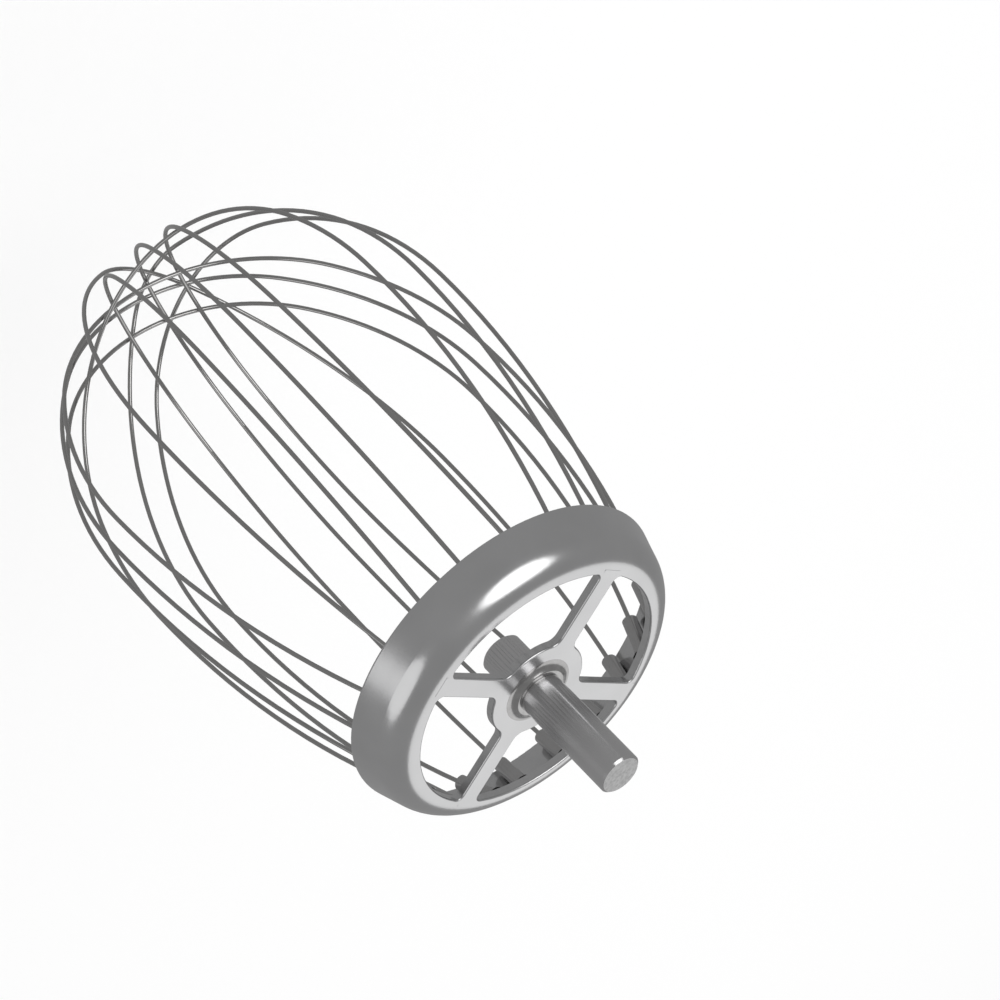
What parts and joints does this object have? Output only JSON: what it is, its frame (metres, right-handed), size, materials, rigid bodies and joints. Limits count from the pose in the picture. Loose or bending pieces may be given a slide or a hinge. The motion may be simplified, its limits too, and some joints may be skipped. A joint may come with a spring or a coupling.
{
  "type": "balloon whisk",
  "caption": "Wire balloon whisk for a planetary mixer: a spoked rim carries crossing wire loops in short sockets, driven by a plain round shaft.",
  "frame": {"origin": "on the shaft's axis where its free length starts, at the top of the weld ring", "axes": "+Z along the shaft towards its free end, the wire cage hanging below; +X along one spoke"},
  "size_m": [0.198, 0.198, 0.3685],
  "materials": {
    "satin_steel": "satin stainless steel",
    "shaft_steel": "bright turned stainless steel",
    "socket_steel": "turned stainless steel",
    "wire_steel": "bright drawn stainless wire"
  },
  "bodies": {
    "root": {"whisk_head": "satin_steel", "drive_shaft": "shaft_steel", "weld_ring": "satin_steel", "wire_socket_01": "socket_steel", "wire_socket_02": "socket_steel", "wire_socket_03": "socket_steel", "wire_socket_04": "socket_steel", "wire_socket_05": "socket_steel", "wire_socket_06": "socket_steel", "wire_socket_07": "socket_steel", "wire_socket_08": "socket_steel", "wire_socket_09": "socket_steel", "wire_socket_10": "socket_steel", "wire_socket_11": "socket_steel", "wire_socket_12": "socket_steel", "wire_socket_13": "socket_steel", "wire_socket_14": "socket_steel", "wire_socket_15": "socket_steel", "wire_socket_16": "socket_steel", "wire_socket_17": "socket_steel", "wire_socket_18": "socket_steel", "wire_socket_19": "socket_steel", "wire_socket_20": "socket_steel", "wire_loop_01": "wire_steel", "wire_loop_02": "wire_steel", "wire_loop_03": "wire_steel", "wire_loop_04": "wire_steel", "wire_loop_05": "wire_steel", "wire_loop_06": "wire_steel", "wire_loop_07": "wire_steel", "wire_loop_08": "wire_steel", "wire_loop_09": "wire_steel", "wire_loop_10": "wire_steel"}
  },
  "joints": []
}
